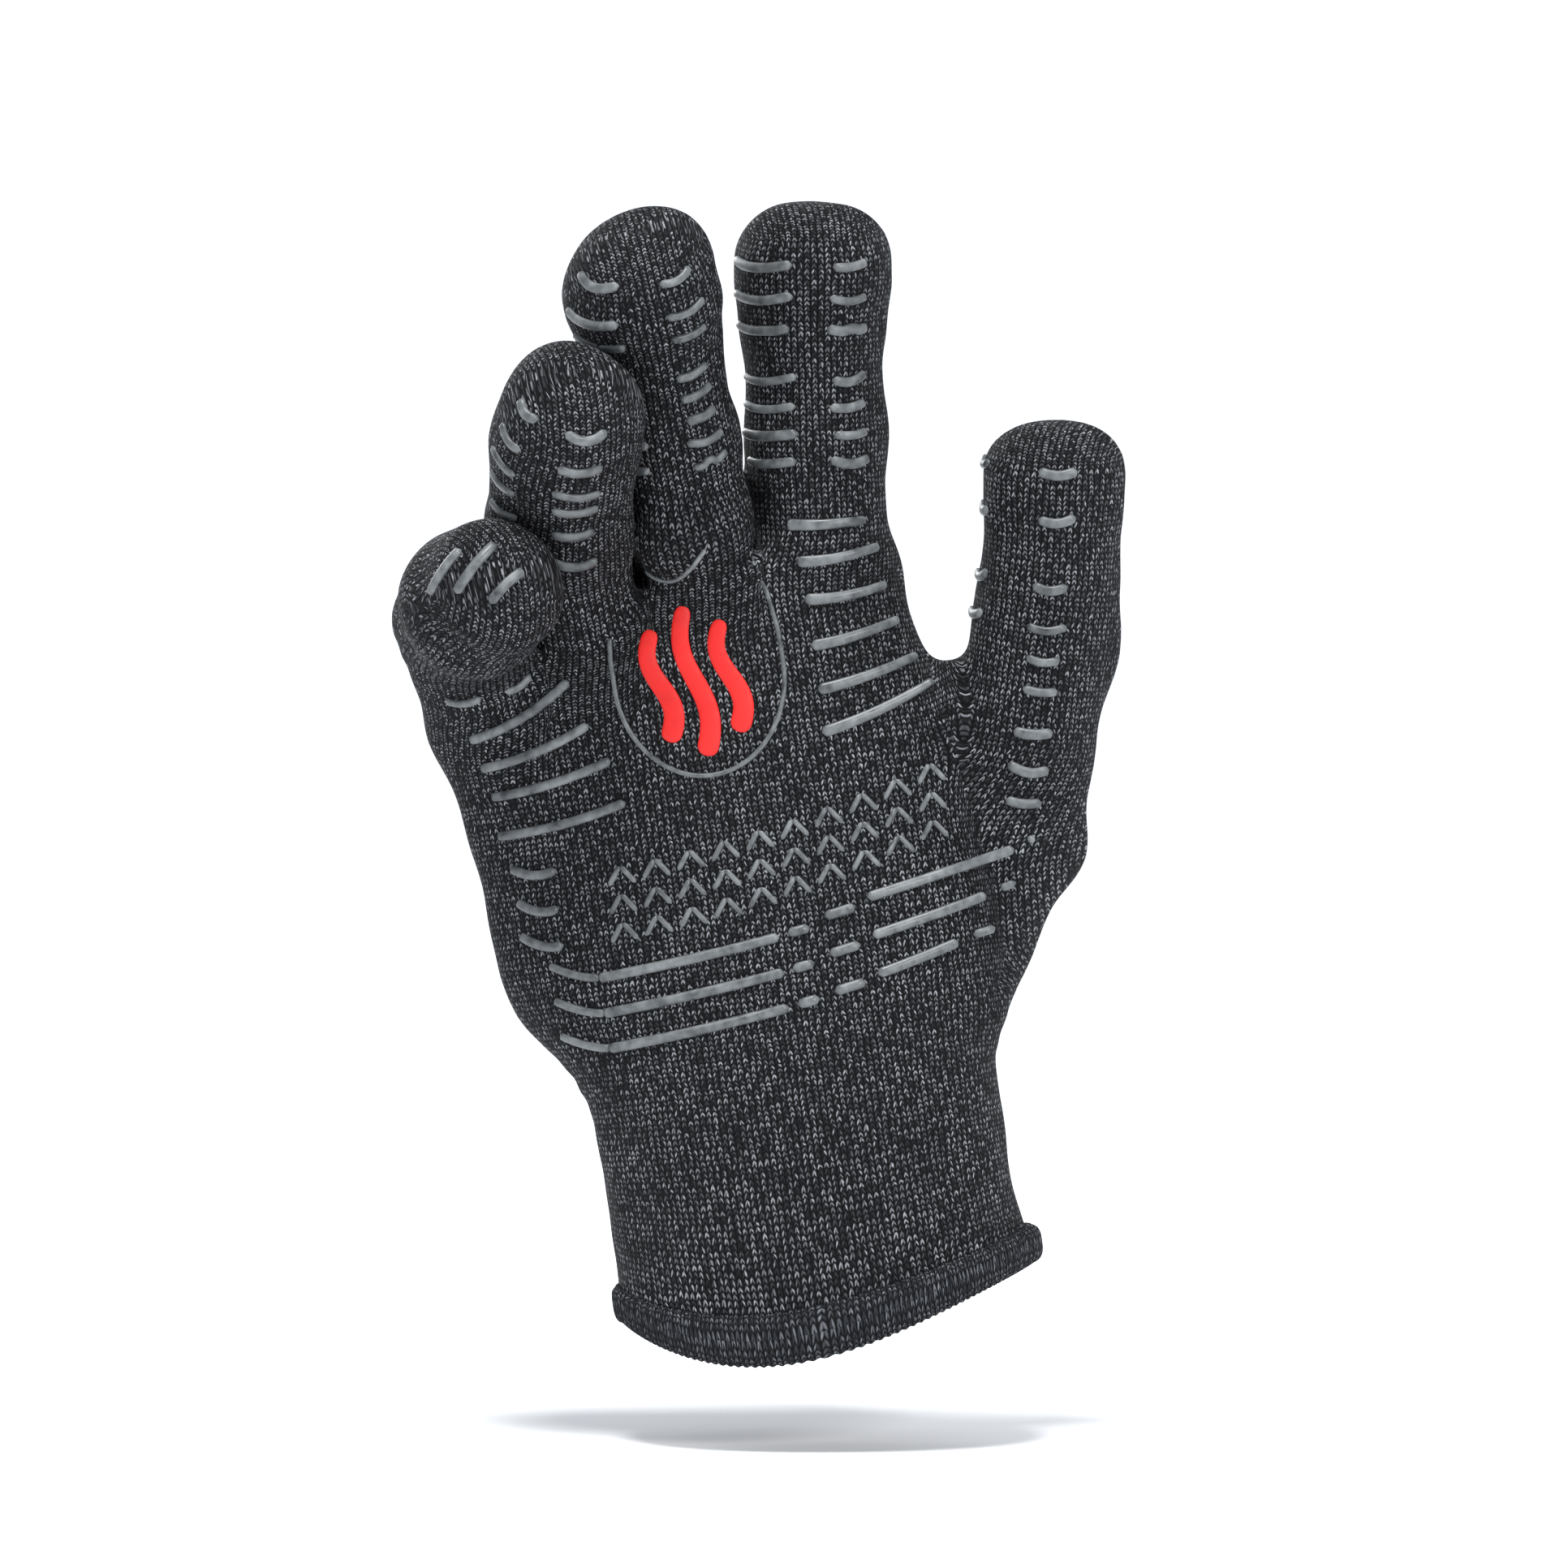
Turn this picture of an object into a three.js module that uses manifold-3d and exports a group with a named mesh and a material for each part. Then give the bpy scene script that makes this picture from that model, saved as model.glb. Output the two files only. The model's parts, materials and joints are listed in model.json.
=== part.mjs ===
// Heat resistant grill glove for the right hand, in millimetres, +Z up.
// The origin is the centre of the cuff's mouth. +Z runs up the forearm's line to the fingertips,
// +X is the thumb side and the palm faces -Y.
// The knitted shell and the cotton liner are cut into sleeves at the hand's own joints. A soft fold
// of the same knit closes each joint. Silicone beads and a badge lie on the palm.
import * as THREE from 'three';
import { mergeVertices } from 'three/addons/utils/BufferGeometryUtils.js';
import Module from 'manifold-3d';

const wasm = await Module();
wasm.setup();

// Fabric
const SHELL = 2.2; // thickness of the aramid knit
const GAP = 0.3; // clearance between touching pieces
const LINER_OUT = SHELL + 2 * GAP; // depth of the liner's outer face below the glove's surface
const LINER_IN = LINER_OUT + 1.3;
const SIDES = 14; // facets round a digit
const WIDE_SIDES = 28; // facets round the cuff and the palm
const OPEN_GAP = 1.2; // half the gap left on a joint's axis

// Cuff and hem
const CUFF = { halfWidth: 46.5, halfDepth: 31 };
const HEM = { height: 7.7, proud: 2.6, thick: 4.4, round: 1 };
const WRIST = { z: 58, swing: 25 };

// Palm: edges and half depth at heights up the hand
const PALM = [
  { z: 58, left: -47, right: 47, depth: 30 },
  { z: 84, left: -59, right: 48, depth: 25 },
  { z: 112, left: -64, right: 43.5, depth: 21 },
  { z: 166, left: -78, right: 47, depth: 18.5 },
];
const PALM_SQUARENESS = 2.5; // exponent of the palm's rounded section
const KNUCKLE_ARCH = { top: 167.6, x: 8, drop: 0.0049 }; // the row of knuckles falls away as a parabola
const BEYOND = 12; // how far the palm's inner solid runs past every mouth
const KNUCKLE_SLANT = 0.65; // how far the palm's front edge is set back for the fingers' curl

// Digits: the joint at the base, how far it leans to the thumb side, how its bending plane is
// turned, the lengths between joints, the bends at rest, and the half width at each joint and at
// the tip, all in mm and degrees
const CURL = { base: 70, mid: 76, tip: 46 }; // furthest bend of each joint from a straight finger
const BACK = 6; // how far a joint bends backwards from a straight finger
const FLATNESS = 1.04; // a digit is slightly deeper than wide
const TIP = { swell: 1.03, swellAt: 0.45, steps: 4 }; // a fingertip's widest ring and its dome
const FINGERS = [
  { name: 'index', at: [29.5, 0, 170], lean: 3, turn: 9, long: [30, 27, 27], rest: [7, 2, 2],
    half: [15.2, 14.8, 14.6, 15.4] },
  { name: 'middle', at: [-2, 0, 171], lean: -3.4, turn: 6, long: [36, 29, 29], rest: [26, 4, 5],
    half: [15, 14.8, 14.4, 15] },
  { name: 'ring', at: [-34, 0, 163], lean: -4, turn: 7, long: [34, 27, 27], rest: [42, 4, 4],
    half: [14, 13.8, 13.8, 14.2] },
  { name: 'little', at: [-62.5, 0, 147], lean: -6, turn: 8, long: [26, 22, 23], rest: [34, 47, 9],
    half: [13.4, 13, 13, 13.2] },
];
const THUMB = { name: 'thumb', at: [66, -2, 100], lean: 12, turn: -10, long: [62, 33], rest: [8, 2],
  half: [16.5, 14.4, 15.4], curl: [34, 60], root: [36, 0, 76] };

// Silicone
const BEAD = 0.9; // radius of a silicone bead
const HEEL = { rows: 3, pitch: 8.4, low: 66, left: [-41, 2], right: [16, 36], rise: 0.1 };
const BADGE = { x: -8, z: 149, halfWidth: 19.5, halfHeight: 24, from: 60, sweep: 300, steps: 7 };
const WAVES = { count: 3, pitch: 6.5, tall: 26, sway: 2 };
const LEAN_OUT = { from: 146, slope: 0.4 }; // the badge follows the palm forward above this height

const CHARCOAL = { color: 0x2c2d30, roughness: 0.95, metalness: 0 };
const COTTON = { color: 0x4a4a4c, roughness: 0.98, metalness: 0 };
const HEM_KNIT = { color: 0x232427, roughness: 0.96, metalness: 0 };
const SILICONE = { color: 0x6f7475, roughness: 0.45, metalness: 0 };
const RED = { color: 0xf03226, roughness: 0.45, metalness: 0 };

const rad = THREE.MathUtils.degToRad;
const slope = (degrees) => Math.tan(rad(degrees / 2));

function piece(name, geometry, look) {
  const mesh = new THREE.Mesh(geometry, new THREE.MeshStandardMaterial(look));
  mesh.name = name;
  return mesh;
}

// A solid wall between two depths below a surface that is given by rings. Each ring is a function
// of the angle round it and the depth below the surface. A closed sleeve ends in a rounded tip.
function sleeve(rings, outer, inner, sides, closed = false) {
  const last = rings.length - 1;
  const up = rings.map((_, i) => new THREE.Vector2(closed && i === last ? 0 : 2, i));
  const down = rings.map((_, i) => new THREE.Vector2(closed && i === last ? 0 : 1, i)).reverse();
  const profile = closed ? [...down, ...up] : [...down, ...up, down[0]];
  const geometry = new THREE.LatheGeometry(profile, sides);
  const at = geometry.attributes.position;
  // an open profile visits each ring once outside and once inside; the order tells them apart
  const row = profile.length;
  for (let i = 0; i < at.count; i += 1) {
    const k = i % row;
    const inside = k < down.length || k === row - 1 && !closed;
    const ring = Math.round(at.getY(i));
    const turn = Math.floor(i / row) % sides;
    const angle = (turn / sides) * 2 * Math.PI;
    const p = rings[ring](angle, inside ? inner : outer);
    at.setXYZ(i, p.x, p.y, p.z);
  }
  return settled(geometry);
}

// The outside of a sleeve with flat ends, filled
function filled(rings, depth, sides) {
  const last = rings.length - 1;
  const wall = rings.map((_, i) => new THREE.Vector2(1, i));
  const profile = [new THREE.Vector2(0, 0), ...wall, new THREE.Vector2(0, last)];
  const geometry = new THREE.LatheGeometry(profile, sides);
  const at = geometry.attributes.position;
  const row = profile.length;
  for (let i = 0; i < at.count; i += 1) {
    const k = i % row;
    const ring = rings[Math.round(at.getY(i))];
    const angle = ((Math.floor(i / row) % sides) / sides) * 2 * Math.PI;
    const p = k === 0 || k === row - 1 ? middle(ring, depth, sides) : ring(angle, depth);
    at.setXYZ(i, p.x, p.y, p.z);
  }
  return settled(geometry);
}

function middle(ring, depth, sides) {
  const sum = new THREE.Vector3();
  for (let i = 0; i < sides; i += 1) {
    sum.add(ring((i / sides) * 2 * Math.PI, depth));
  }
  return sum.divideScalar(sides);
}

// Welds a geometry's shared vertices and turns its faces out
function settled(geometry) {
  geometry.deleteAttribute('normal');
  geometry.deleteAttribute('uv');
  const welded = mergeVertices(geometry, 1e-4);
  if (volume(welded) < 0) {
    welded.index.array.reverse();
  }
  welded.computeVertexNormals();
  return welded;
}

function volume(geometry) {
  const at = geometry.attributes.position;
  const corner = (i) => new THREE.Vector3().fromBufferAttribute(at, geometry.index.array[i]);
  let sum = 0;
  for (let i = 0; i < geometry.index.count; i += 3) {
    sum += corner(i).dot(corner(i + 1).cross(corner(i + 2)));
  }
  return sum / 6;
}

function solid(geometry) {
  const triVerts = Uint32Array.from(geometry.index.array);
  const vertProperties = Float32Array.from(geometry.attributes.position.array);
  return new wasm.Manifold(new wasm.Mesh({ numProp: 3, vertProperties, triVerts }));
}

function geometryOf(manifold) {
  const mesh = manifold.getMesh();
  const geometry = new THREE.BufferGeometry();
  geometry.setAttribute('position', new THREE.BufferAttribute(mesh.vertProperties, 3));
  geometry.setIndex(new THREE.BufferAttribute(mesh.triVerts, 1));
  geometry.computeVertexNormals();
  return geometry;
}

// An oval ring at a height, whose edge rises with its distance from the bending axis
function oval(halfWidth, z, front = 0, back = front) {
  return (angle, depth) => {
    const x = (halfWidth - depth) * Math.cos(angle);
    const y = (halfWidth * FLATNESS - depth) * Math.sin(angle);
    return new THREE.Vector3(x, y, z + (y < 0 ? -y * front : y * back));
  };
}

function turned(ring, degrees, z) {
  const axis = new THREE.Vector3(1, 0, 0);
  return (angle, depth) => {
    const p = ring(angle, depth).applyAxisAngle(axis, rad(degrees));
    p.z += z;
    return p;
  };
}

// The rings of a fingertip: a straight run, then a dome
function tipRings(half, end, long, start) {
  const rings = [start, oval(half * TIP.swell, long * TIP.swellAt)];
  for (let i = 0; i <= TIP.steps; i += 1) {
    const rise = (i / TIP.steps) * (Math.PI / 2);
    rings.push((angle, depth) => {
      const round = (end - depth) * Math.cos(rise);
      const high = (end - depth) * Math.sin(rise);
      return oval(round, long - end + high)(angle, 0);
    });
  }
  return rings;
}

// One digit as nested joints. Each joint's group is turned by its bend at rest, and holds the
// sleeve that lies beyond it. The fold that closes a joint stays with the sleeve before it.
function digit(spec, curls, parts) {
  const group = new THREE.Group();
  group.position.set(...spec.at);
  group.rotation.set(0, rad(spec.lean), rad(spec.turn), 'YXZ');
  let parent = group;
  let height = 0;
  parts.forEach((part, i) => {
    const bend = spec.rest[i];
    const half = spec.half[i];
    const next = spec.half[i + 1];
    const long = spec.long[i];
    const closed = i === parts.length - 1;
    const front = slope(curls[i]);
    const back = slope(BACK);
    const joint = new THREE.Group();
    joint.name = `${spec.name}_${part}_joint`;
    joint.position.z = height;
    joint.rotation.x = rad(bend);
    const start = oval(half, OPEN_GAP, front, back);
    const rings = closed
      ? tipRings(half, next, long, start)
      : [start, oval((half + next) / 2, long / 2),
        oval(next, long - OPEN_GAP, -slope(curls[i + 1]), -back)];
    const label = `${spec.name}_${part}`;
    joint.add(piece(`${label}_shell`, sleeve(rings, 0, SHELL, SIDES, closed), CHARCOAL));
    joint.add(piece(`${label}_liner`, sleeve(rings, LINER_OUT, LINER_IN, SIDES, closed), COTTON));
    const fold = [oval(half, GAP - OPEN_GAP, -front, -back), turned(oval(half, 0), bend / 2, 0),
      turned(oval(half, OPEN_GAP - GAP, front, back), bend, 0)];
    const crease = piece(`${label}_fold`, sleeve(fold, 0, SHELL, SIDES), CHARCOAL);
    crease.position.z = height;
    parent.add(crease, joint);
    parent = joint;
    height = long;
  });
  return group;
}

// The palm's section at a height, as edges and half depth
function palmAt(z) {
  const above = PALM.findIndex((s) => s.z >= z);
  const i = Math.min(Math.max(above, 1), PALM.length - 1);
  const [a, b] = [PALM[i - 1], PALM[i]];
  const t = (z - a.z) / (b.z - a.z);
  const mix = (key) => a[key] + (b[key] - a[key]) * t;
  return { left: mix('left'), right: mix('right'), depth: mix('depth') };
}

function rounded(value) {
  return Math.sign(value) * Math.abs(value) ** (2 / PALM_SQUARENESS);
}

// A point on the palm's surface, lowered by a depth
function palmPoint(z, angle, depth) {
  const s = palmAt(z);
  const x = (s.left + s.right) / 2 + ((s.right - s.left) / 2 - depth) * rounded(Math.cos(angle));
  return new THREE.Vector3(x, (s.depth - depth) * rounded(Math.sin(angle)), z);
}

// A ring moved along +Z
function raised(ring, rise) {
  return (angle, depth) => {
    const p = ring(angle, depth);
    p.z += rise;
    return p;
  };
}

function palmFoot(rise) {
  return (angle, depth) => {
    const { y } = palmPoint(WRIST.z, angle, depth);
    return palmPoint(WRIST.z + rise + Math.abs(y) * slope(WRIST.swing), angle, depth);
  };
}

// The palm's rings from the wrist to the knuckles; an extra run past both mouths helps a cut
function palmRings(extra) {
  const foot = palmFoot(OPEN_GAP);
  const between = PALM.slice(1, -1).map((s) => (angle, depth) => palmPoint(s.z, angle, depth));
  const top = (angle, depth) => {
    const { x, y } = palmPoint(PALM[PALM.length - 1].z, angle, depth);
    const arch = KNUCKLE_ARCH.top - KNUCKLE_ARCH.drop * (x - KNUCKLE_ARCH.x) ** 2;
    return palmPoint(arch - (y < 0 ? -y * KNUCKLE_SLANT : 0), angle, depth);
  };
  const rings = [foot, ...between, top];
  return extra ? [raised(foot, -extra), ...rings, raised(top, extra)] : rings;
}

// The short tube that carries the thumb's root out of the palm's side
function thumbRoot(depth, extra) {
  const place = new THREE.Matrix4().compose(
    new THREE.Vector3(...THUMB.at),
    new THREE.Quaternion().setFromEuler(new THREE.Euler(0, rad(THUMB.lean), rad(THUMB.turn), 'YXZ')),
    new THREE.Vector3(1, 1, 1),
  );
  const from = new THREE.Vector3(...THUMB.root);
  const away = new THREE.Vector3(...THUMB.at).sub(from).normalize();
  const upright = new THREE.Quaternion().setFromUnitVectors(new THREE.Vector3(0, 0, 1), away);
  const section = oval(THUMB.half[0], 0);
  const mouth = (run) => {
    const ring = oval(THUMB.half[0], run - OPEN_GAP, -slope(THUMB.curl[0]), -slope(BACK));
    return (angle) => ring(angle, depth).applyMatrix4(place);
  };
  const start = (angle) => section(angle, depth).applyQuaternion(upright).add(from);
  const rings = [start, mouth(0)];
  return filled(extra ? [...rings, mouth(extra)] : rings, 0, SIDES);
}

function palmSolid(depth, extra) {
  const body = solid(filled(palmRings(extra), depth, WIDE_SIDES));
  return body.add(solid(thumbRoot(depth, extra)));
}

function palmWall(outer, inner) {
  return geometryOf(palmSolid(outer, 0).subtract(palmSolid(inner, BEYOND)));
}

function cuffRing(z, proud = 0, lift = 0) {
  return (angle, depth) => {
    const x = (CUFF.halfWidth + proud - depth) * Math.cos(angle);
    const y = (CUFF.halfDepth + proud - depth) * Math.sin(angle);
    return new THREE.Vector3(x, y, z + Math.abs(y) * lift);
  };
}

function cuff() {
  const group = new THREE.Group();
  const top = WRIST.z - OPEN_GAP;
  const wall = [cuffRing(HEM.height + GAP), cuffRing(top, 0, -slope(WRIST.swing))];
  group.add(piece('cuff_shell', sleeve(wall, 0, SHELL, WIDE_SIDES), CHARCOAL));
  group.add(piece('cuff_liner', sleeve(wall, LINER_OUT, LINER_IN, WIDE_SIDES), COTTON));
  const edge = HEM.proud - HEM.round;
  const roll = [cuffRing(0, edge), cuffRing(HEM.height / 2, HEM.proud), cuffRing(HEM.height, edge)];
  group.add(piece('hem_band', sleeve(roll, 0, HEM.thick, WIDE_SIDES), HEM_KNIT));
  const fold = [
    cuffRing(top + GAP, 0, -slope(WRIST.swing)),
    cuffRing(WRIST.z, 0),
    palmFoot(OPEN_GAP - GAP),
  ];
  group.add(piece('wrist_fold', sleeve(fold, 0, SHELL, WIDE_SIDES), CHARCOAL));
  return group;
}

// How far the front stands forward of the hand's middle plane: the palm's own curve, and above it
// the middle finger's forward lean
function frontAt(x, z) {
  const s = palmAt(z);
  const across = (2 * x - s.left - s.right) / (s.right - s.left);
  const palm = s.depth * (1 - Math.abs(across) ** PALM_SQUARENESS) ** (1 / PALM_SQUARENESS);
  return palm + Math.max(0, z - LEAN_OUT.from) * LEAN_OUT.slope;
}

// A silicone bead laid along points on the glove's front, given as x and z
function bead(name, points, look) {
  const lift = 2 * GAP + BEAD;
  const onFront = ([x, z]) => new THREE.Vector3(x, -frontAt(x, z) - lift, z);
  const path = new THREE.CatmullRomCurve3(points.map(onFront));
  const section = new THREE.Shape();
  section.absarc(0, 0, BEAD, 0, 2 * Math.PI);
  const steps = points.length * 2;
  const options = { extrudePath: path, steps, bevelEnabled: false, curveSegments: 3 };
  return piece(name, settled(new THREE.ExtrudeGeometry(section, options)), look);
}

function heelGrips() {
  const group = new THREE.Group();
  for (const side of ['left', 'right']) {
    const [from, to] = HEEL[side];
    for (let row = 0; row < HEEL.rows; row += 1) {
      const low = HEEL.low + row * HEEL.pitch + (side === 'right' ? HEEL.pitch : 0);
      const points = [0, 1, 2, 3].map((i) => {
        const x = from + ((to - from) * i) / 3;
        return [x, low + (x - from) * HEEL.rise];
      });
      group.add(bead(`heel_grip_${side}_${row + 1}`, points, SILICONE));
    }
  }
  return group;
}

// A horseshoe border round three upright waves of heat
function badge() {
  const group = new THREE.Group();
  const border = [];
  for (let i = 0; i <= BADGE.steps; i += 1) {
    const angle = rad(BADGE.from - (BADGE.sweep * i) / BADGE.steps);
    border.push([BADGE.x + BADGE.halfWidth * Math.cos(angle),
      BADGE.z + BADGE.halfHeight * Math.sin(angle)]);
  }
  group.add(bead('badge_border', border, SILICONE));
  for (let w = 0; w < WAVES.count; w += 1) {
    const x = BADGE.x + (w - (WAVES.count - 1) / 2) * WAVES.pitch;
    const points = [0, 1, 2, 3, 4].map((i) => [
      x + WAVES.sway * Math.sin((i * Math.PI) / 2),
      BADGE.z + WAVES.tall * (i / 4 - 0.5),
    ]);
    group.add(bead(`badge_wave_${w + 1}`, points, RED));
  }
  return group;
}

const glove = new THREE.Group();
glove.add(cuff());
glove.add(piece('palm_shell', palmWall(0, SHELL), CHARCOAL));
glove.add(piece('palm_liner', palmWall(LINER_OUT, LINER_IN), COTTON));
for (const finger of FINGERS) {
  glove.add(digit(finger, [CURL.base, CURL.mid, CURL.tip], ['base', 'mid', 'tip']));
}
glove.add(digit(THUMB, THUMB.curl, ['base', 'tip']));
glove.add(heelGrips());
glove.add(badge());

export default glove;
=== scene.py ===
import json
import math

import bmesh
import bpy
import numpy as np
from mathutils import Matrix, Vector

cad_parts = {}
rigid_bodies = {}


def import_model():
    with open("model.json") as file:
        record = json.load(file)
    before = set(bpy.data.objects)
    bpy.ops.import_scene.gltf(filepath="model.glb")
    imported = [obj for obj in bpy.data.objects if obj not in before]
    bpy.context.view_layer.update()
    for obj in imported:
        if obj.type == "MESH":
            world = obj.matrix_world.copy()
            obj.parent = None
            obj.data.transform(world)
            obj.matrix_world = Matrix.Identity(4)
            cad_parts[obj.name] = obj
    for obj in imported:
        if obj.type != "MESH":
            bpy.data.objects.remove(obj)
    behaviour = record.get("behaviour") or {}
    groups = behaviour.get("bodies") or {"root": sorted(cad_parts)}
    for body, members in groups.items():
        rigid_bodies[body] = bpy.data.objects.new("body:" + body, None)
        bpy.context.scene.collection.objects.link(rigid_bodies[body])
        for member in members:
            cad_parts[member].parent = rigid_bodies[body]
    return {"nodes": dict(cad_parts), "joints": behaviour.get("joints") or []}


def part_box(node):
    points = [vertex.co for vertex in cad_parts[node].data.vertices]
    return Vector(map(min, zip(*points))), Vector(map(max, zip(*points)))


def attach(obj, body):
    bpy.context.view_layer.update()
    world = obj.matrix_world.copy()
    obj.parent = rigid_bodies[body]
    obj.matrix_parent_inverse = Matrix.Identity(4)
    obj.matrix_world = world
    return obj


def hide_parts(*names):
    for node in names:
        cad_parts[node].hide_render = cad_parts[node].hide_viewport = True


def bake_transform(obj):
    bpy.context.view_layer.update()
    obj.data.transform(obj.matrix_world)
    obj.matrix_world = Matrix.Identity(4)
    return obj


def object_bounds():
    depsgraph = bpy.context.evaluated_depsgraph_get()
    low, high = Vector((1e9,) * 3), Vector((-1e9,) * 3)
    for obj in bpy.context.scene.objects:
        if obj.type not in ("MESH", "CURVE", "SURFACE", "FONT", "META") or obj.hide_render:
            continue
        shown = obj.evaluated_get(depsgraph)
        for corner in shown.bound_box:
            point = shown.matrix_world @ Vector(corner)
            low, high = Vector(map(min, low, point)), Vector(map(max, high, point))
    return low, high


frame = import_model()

CAD_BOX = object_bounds()
MM = 0.001
SEED = 11

# ---- the hand inside the glove ------------------------------------------------------------------
# Each digit's centre line runs through its joints. Radii and sideways shifts are in mm, at the
# joints and at the tip; corner is how square the fingertip is, fuse how softly it joins the palm.
DIGITS = {
    "index": {"tip": 28, "bend": 2,
              "radii": [15.8, 16.2, 16.4, 18.6], "root": (0, -26), "corner": 0.74, "fuse": 9,
              "shift": [(-6, 0), (-5, 0), (-3.5, 0), (-1.5, 0)]},
    "middle": {"tip": 29, "bend": 5,
               "radii": [16.2, 16.0, 16.2, 18.6], "root": (0, -24), "corner": 0.66, "fuse": 2,
               "shift": [(-4, 0), (-4.5, 0), (-4.5, 0), (-5, -2)], "tilt": 0.16},
    "ring": {"tip": 26, "bend": 4,
             "radii": [16.2, 17.2, 16.8, 17.2], "root": (0, -24), "corner": 0.9, "fuse": 2,
             "shift": [(-1.5, 0), (-1.5, 0), (3, -2), (9, -4.5)]},
    "little": {"tip": 22, "bend": 9,
               "radii": [15.4, 16.2, 16.6, 16.4], "root": (7, -26), "corner": 0.9, "fuse": 4,
               "shift": [(3.2, 0), (2, 0), (4, 0), (15, 4)]},
    "thumb": {"tip": 35, "bend": 2,
              "radii": [16, 15.2, 16.6], "root": (-20, -33), "corner": 0.78, "fuse": 9,
              "shift": [(-6.5, 0), (-0.5, 0), (0.5, 0)]},
}
FINGERS = ["index", "middle", "ring", "little"]
for name, spec in DIGITS.items():
    inner = name in FINGERS  # a finger has one joint and one body more than the thumb
    spec["joints"] = [f"{name}_knuckle"] + [f"{name}_middle_joint"] * inner + [f"{name}_end_joint"]
    spec["bodies"] = [f"{name}_base"] + [f"{name}_mid"] * inner + [f"{name}_tip"]

# Section of the cuff and palm: height, left and right edges, half depth, all in mm
SECTIONS = [
    (-6, -50.5, 49, 31.5), (2, -50, 48.5, 31.5), (14, -48.8, 46.8, 30.5), (50, -49.4, 46.4, 29.5),
    (60, -53, 48.5, 28.5), (73, -63, 53, 26.5), (84, -67, 53, 24.5), (106, -67.5, 50, 21.5),
    (125, -70, 48, 20), (141, -72.5, 45.5, 19), (157, -75, 42, 18), (176, -77, 40, 17),
]
SQUARENESS = 2.35
# Where a bent finger's cloth bulges over the palm: offset from its knuckle, radius and softness
BULGES = {"middle": ((0.5, -11.5, 12.5), 16.3, 3), "ring": ((1, -11.5, 13), 15.5, 3),
          "little": ((1, -12, 14), 13.5, 3), "thumb": ((15, 0, 45), 15, 11)}
# Cloth between the digits, as rounded ridges: from, to and radius
WEBS = [((47, -1, 110), (50, -2, 130.5), 11), ((8, 4, 160), (9, 5, 184), 7),
        ((-21, 5, 150), (-21, 6, 177), 7), ((-48, 5, 140), (-48, 5, 162), 7)]
TOP_TILT = 0.3  # the palm's top is lower at the back
TOP_DROP = 1.0  # and this far below the knuckles
# Folds in the cloth, as arcs: centre across and up, radius, first and last angle, depth
CREASES = [((-66, 156), 6, 10, 175, 0.8), ((-66, 156), 10.5, 15, 170, 0.8),
           ((-66, 156), 15, 25, 160, 0.6), ((60, 158), 22, 205, 262, 0.7),
           ((60, 158), 28, 210, 258, 0.6), ((-9, 214), 43, 248, 292, 0.8),
           ((92, 96), 24, 130, 200, 0.6), ((96, 92), 34, 135, 190, 0.5),
           ((-90, 60), 34, 330, 395, 0.6), ((-20, 10), 60, 40, 110, 0.35)]
# The cuff's edge hangs lower: how far in front and behind in mm, how high that reaches, half the
# cuff's width, and how much more it hangs towards the little finger
DROOP_FRONT = 13
DROOP_BACK = 3
DROOP_REACH = 55
CUFF_HALF = 49
DROOP_LEAN = 0.45
# The wrist's gathered cloth: height, spread, depth and pitch in mm
GATHER = {"at": 56, "spread": 7, "deep": 0.35, "pitch": 5.5}
# The cloth's soft unevenness: how many waves, their lengths and heights in mm
WAVE_COUNT = 14
WAVE_LONG = (13, 34)
WAVE_HIGH = (0.05, 0.14)
# Where each finger's root bends, in mm beyond its knuckle, and the thumb root's bending way
ROOT_BENDS = {"index": (4, 20), "middle": (4, 23), "ring": (4, 21), "little": (1, 12)}
THUMB_BEND = (0.86, 0, 0.5)
FINGER_GAP = 0.9  # half the gap kept between neighbouring digits

THUMB_FROM = 75  # the height where the thumb leaves the palm's oval section
WALE = 1.5 * MM  # the width of a column of stitches
COURSE = 1.25 * MM  # the height of a row
LINER_DEPTH = 2.6 * MM


def unit(v):
    return np.asarray(v, float) / np.linalg.norm(v)


def add_object(name, data):
    """A new object in the scene that holds the data."""
    piece = bpy.data.objects.new(name, data)
    bpy.context.collection.objects.link(piece)
    return piece


def smooth_object(name, mesh, material):
    """A new object of a smooth-shaded mesh."""
    mesh.polygons.foreach_set("use_smooth", [True] * len(mesh.polygons))
    mesh.materials.append(material)
    return add_object(name, mesh)


def turn(v, axis, degrees):
    return np.array(Matrix.Rotation(math.radians(degrees), 3, Vector(axis)) @ Vector(v))


def digit_lines():
    """Each digit's points, bone directions, hinge axis and lengths to each joint, in metres."""
    known = {j["name"]: j for j in frame["joints"]}
    lines = {}
    for name, spec in DIGITS.items():
        joints = [np.array(known[j]["pos_m"], float) for j in spec["joints"]]
        axis = unit(known[spec["joints"][0]]["axis"])
        way = turn(unit(joints[-1] - joints[-2]), axis, spec["bend"])
        joints.append(joints[-1] + way * spec["tip"] * MM)
        points = [p + np.array([x, 0, z]) * MM for p, (x, z) in zip(joints, spec["shift"])]
        ways = [unit(b - a) for a, b in zip(points, points[1:])]
        runs = np.cumsum([0] + [np.linalg.norm(b - a) for a, b in zip(points, points[1:])])
        lines[name] = {"points": points, "ways": ways, "axis": axis, "runs": runs,
                       "radii": [r * MM for r in spec["radii"]]}
    return lines


LINES = digit_lines()
KNUCKLES = sorted((LINES[f]["points"][0] for f in FINGERS), key=lambda p: p[0])


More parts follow.
